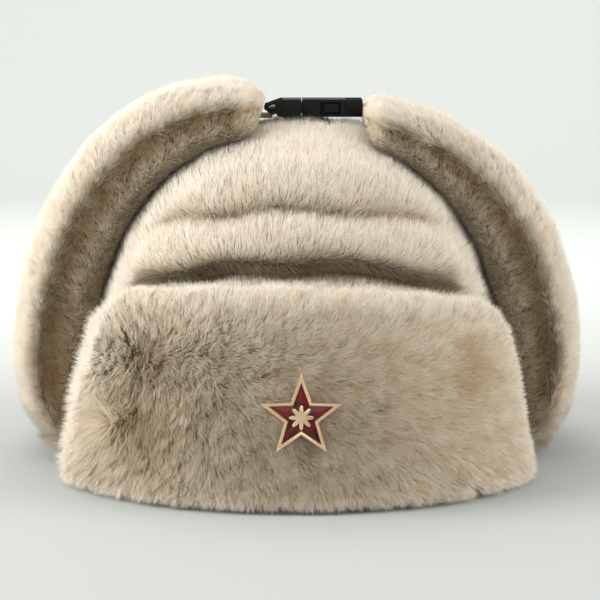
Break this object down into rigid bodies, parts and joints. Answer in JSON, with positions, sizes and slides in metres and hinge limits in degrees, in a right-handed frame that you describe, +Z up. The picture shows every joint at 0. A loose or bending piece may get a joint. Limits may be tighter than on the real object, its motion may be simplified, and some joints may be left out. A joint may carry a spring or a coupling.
{
  "type": "winter hat",
  "caption": "Plush winter hat, ear flaps folded up and buckled together over the crown, front flap folded up with a star badge.",
  "frame": {"origin": "centre of the crown's rim on the plane that the hat stands on", "axes": "+Z up, the front flap and its badge face -Y, the wearer's left ear flap is on +X"},
  "size_m": [0.2852, 0.2967, 0.1887],
  "materials": {
    "plush": "deep cream pile, matt, darker at the roots",
    "tape": "woven grosgrain tape, beige grey",
    "acetal": "moulded black, satin",
    "gilt": "polished pale gilt",
    "enamel": "dark red enamel, glossy, faceted"
  },
  "bodies": {
    "root": {"crown": "plush", "front_flap": "plush", "neck_flap": "plush", "ear_flap_left": "plush", "ear_flap_right": "plush", "strap_left": "tape", "strap_right": "tape", "buckle_plug": "acetal", "buckle_socket": "acetal", "badge_star": "gilt", "badge_enamel": "enamel"}
  },
  "joints": []
}
